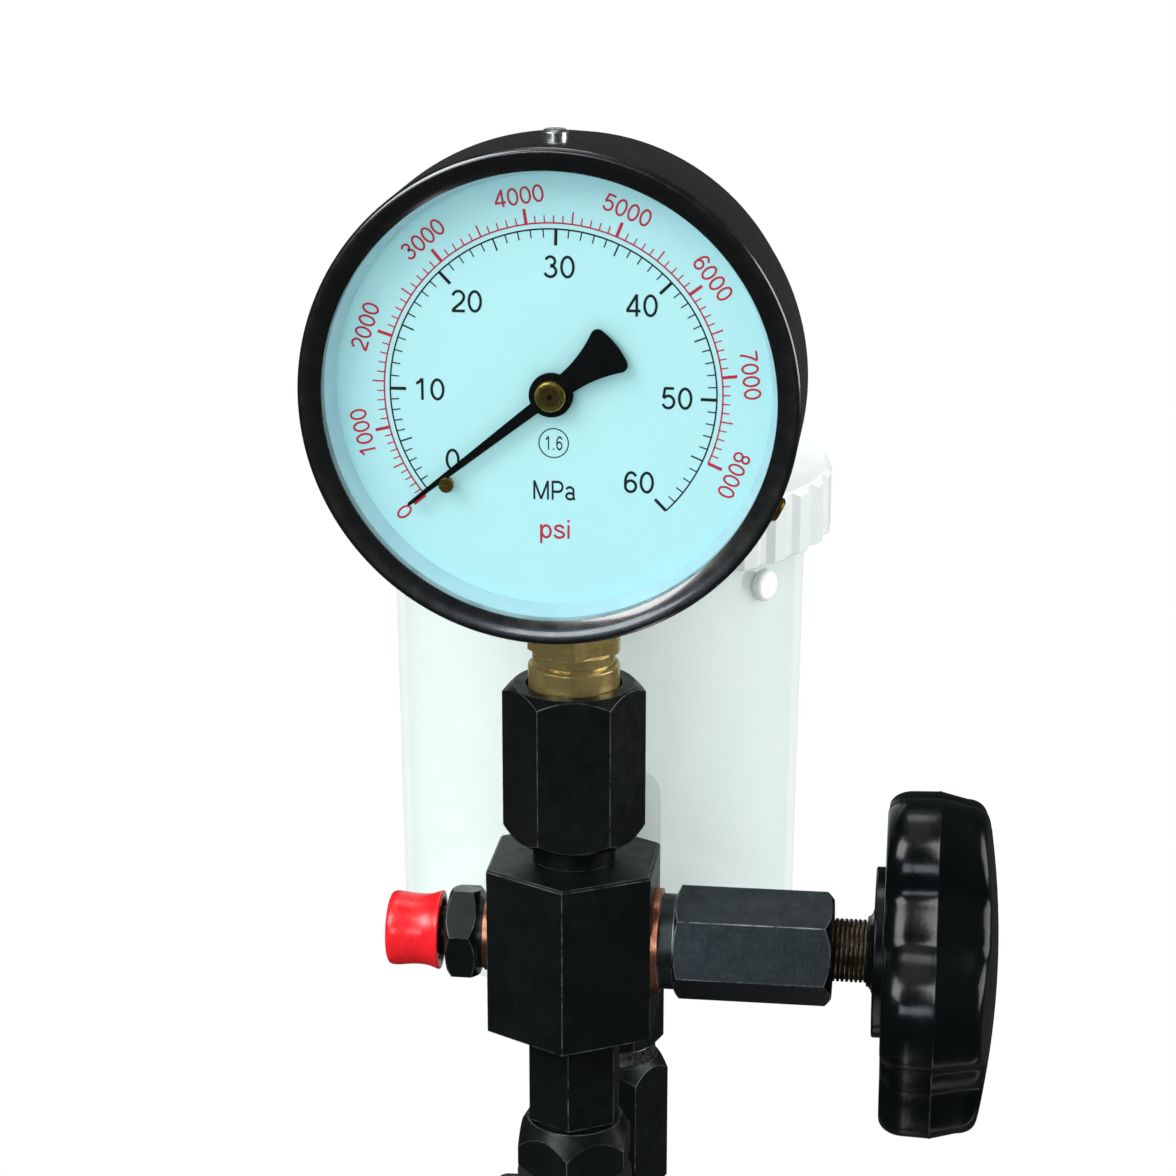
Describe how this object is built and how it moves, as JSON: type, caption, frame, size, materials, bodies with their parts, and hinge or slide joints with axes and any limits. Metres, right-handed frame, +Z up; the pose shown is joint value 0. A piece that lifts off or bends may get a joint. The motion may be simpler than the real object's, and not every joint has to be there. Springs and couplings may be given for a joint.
{
  "type": "diesel injector tester",
  "caption": "Hand-lever injector tester: pump column on a foot, round dial gauge on top, needle valve with star knob, capped injector outlet, translucent fuel tank behind.",
  "frame": {"origin": "centre of the foot plate's underside on the pump column's axis", "axes": "+Z up along the column, -Y the way the dial faces, +X towards the valve knob and the lever's grip"},
  "size_m": [0.32, 0.1843, 0.3987],
  "materials": {
    "cast": "smooth stove enamel",
    "black_steel": "black oxide, worn at the edges",
    "ground_steel": "ground",
    "spring_steel": "drawn",
    "plated_steel": "plated",
    "brass": "turned",
    "worn_brass": "turned, worn",
    "copper": "stamped copper",
    "gauge_black": "satin black",
    "glass": "clear",
    "gasket": "soft",
    "dial_paint": "satin pale blue-white, printed",
    "pointer_paint": "matt black",
    "red_cap": "soft moulded",
    "bakelite": "moulded, glossy",
    "grip_rubber": "moulded",
    "tank_plastic": "translucent moulded",
    "plug_rubber": "moulded",
    "nylon": "moulded"
  },
  "bodies": {
    "tester": {"barrel": "ground_steel", "bezel": "gauge_black", "bezel_screw_1": "ground_steel", "bezel_screw_2": "brass", "bezel_screw_3": "brass", "bourdon_tube": "brass", "case_screw": "ground_steel", "circlip": "ground_steel", "cross_block": "black_steel", "delivery_seat": "ground_steel", "delivery_spring": "spring_steel", "dial": "dial_paint", "foot_plate": "cast", "foot_screw_1": "black_steel", "foot_screw_2": "black_steel", "foot_screw_3": "black_steel", "foot_screw_4": "black_steel", "gauge_case": "gauge_black", "gauge_coupling": "black_steel", "gauge_glass": "glass", "gauge_socket": "brass", "glass_gasket": "gasket", "inlet_arm": "black_steel", "lock_nut": "black_steel", "movement": "brass", "neck_adapter": "black_steel", "outlet_union": "black_steel", "outlet_washer": "copper", "pivot_pin": "ground_steel", "plunger_spring": "spring_steel", "pressure_stud": "black_steel", "pump_housing": "cast", "stack_washer": "ground_steel", "stop_pin": "brass", "tank": "tank_plastic", "tank_filter": "brass", "tank_fitting": "black_steel", "tank_nut": "nylon", "union_nut": "black_steel", "valve_body": "black_steel", "valve_washer": "copper", "vent_plug": "plug_rubber"},
    "lever": {"lever_arm": "black_steel", "lever_rod": "plated_steel", "grip": "grip_rubber", "roller_pin": "ground_steel"},
    "roller": {"roller": "ground_steel"},
    "plunger_set": {"tappet": "ground_steel", "plunger": "ground_steel", "spring_plate": "ground_steel"},
    "delivery_valve": {"delivery_valve": "ground_steel"},
    "needle": {"needle": "ground_steel"},
    "valve_knob": {"knob": "bakelite", "spindle": "worn_brass"},
    "pointer": {"pointer": "pointer_paint", "pinion_arbor": "brass"},
    "sector": {"sector": "brass"},
    "link": {"link": "brass"},
    "outlet_cap": {"outlet_cap": "red_cap"},
    "tank_lid": {"tank_lid": "tank_plastic"}
  },
  "joints": [
    {"name": "lever_pivot", "type": "hinge", "parent": "tester", "child": "lever", "pos_m": [0.024, 0, 0.04245], "axis": [0, 1, 0], "range_deg": [0, 31.4], "stiffness_Nm_per_rad": 2.45, "springref_deg": -29.22},
    {"name": "roller_spin", "type": "hinge", "parent": "lever", "child": "roller", "pos_m": [0.00089, 0, 0.03596], "axis": [0, 1, 0], "continuous": true},
    {"name": "plunger_lift", "type": "slide", "parent": "tester", "child": "plunger_set", "axis": [0, 0, 1], "range_m": [0, 0.01305], "deforming": ["plunger_spring"]},
    {"name": "delivery_lift", "type": "slide", "parent": "tester", "child": "delivery_valve", "axis": [0, 0, 1], "range_m": [0, 0.003], "stiffness_N_per_m": 300, "springref_m": -0.003, "deforming": ["delivery_spring"]},
    {"name": "needle_feed", "type": "slide", "parent": "tester", "child": "needle", "axis": [1, 0, 0], "range_m": [-0.0031, 0.0031]},
    {"name": "knob_turn", "type": "hinge", "parent": "needle", "child": "valve_knob", "pos_m": [0.06, 0, 0.21684], "axis": [1, 0, 0], "range_deg": [-720, 720]},
    {"name": "pointer_turn", "type": "hinge", "parent": "tester", "child": "pointer", "pos_m": [0, -0.02, 0.3474], "axis": [0, 1, 0], "range_deg": [0, 264.5]},
    {"name": "sector_turn", "type": "hinge", "parent": "tester", "child": "sector", "pos_m": [0, -0.022, 0.3292], "axis": [0, 1, 0], "range_deg": [-41, 0]},
    {"name": "link_rise", "type": "slide", "parent": "tester", "child": "link", "axis": [0, 0, 1], "range_m": [0, 0.00446], "stiffness_N_per_m": 2000, "springref_m": -0.0005, "deforming": ["bourdon_tube"]},
    {"name": "cap_pull", "type": "slide", "parent": "tester", "child": "outlet_cap", "axis": [-1, 0, 0], "range_m": [0, 0.03]},
    {"name": "lid_lift", "type": "slide", "parent": "tester", "child": "tank_lid", "axis": [0, 0, 1], "range_m": [0, 0.04]}
  ],
  "couplings": [
    {"joint": "plunger_lift", "follows": "lever_pivot", "m_per_rad": 0.023701},
    {"joint": "needle_feed", "follows": "knob_turn", "m_per_rad": 0.00023873},
    {"joint": "sector_turn", "follows": "link_rise", "rad_per_m": -156.96},
    {"joint": "pointer_turn", "follows": "link_rise", "rad_per_m": 1033.3}
  ]
}
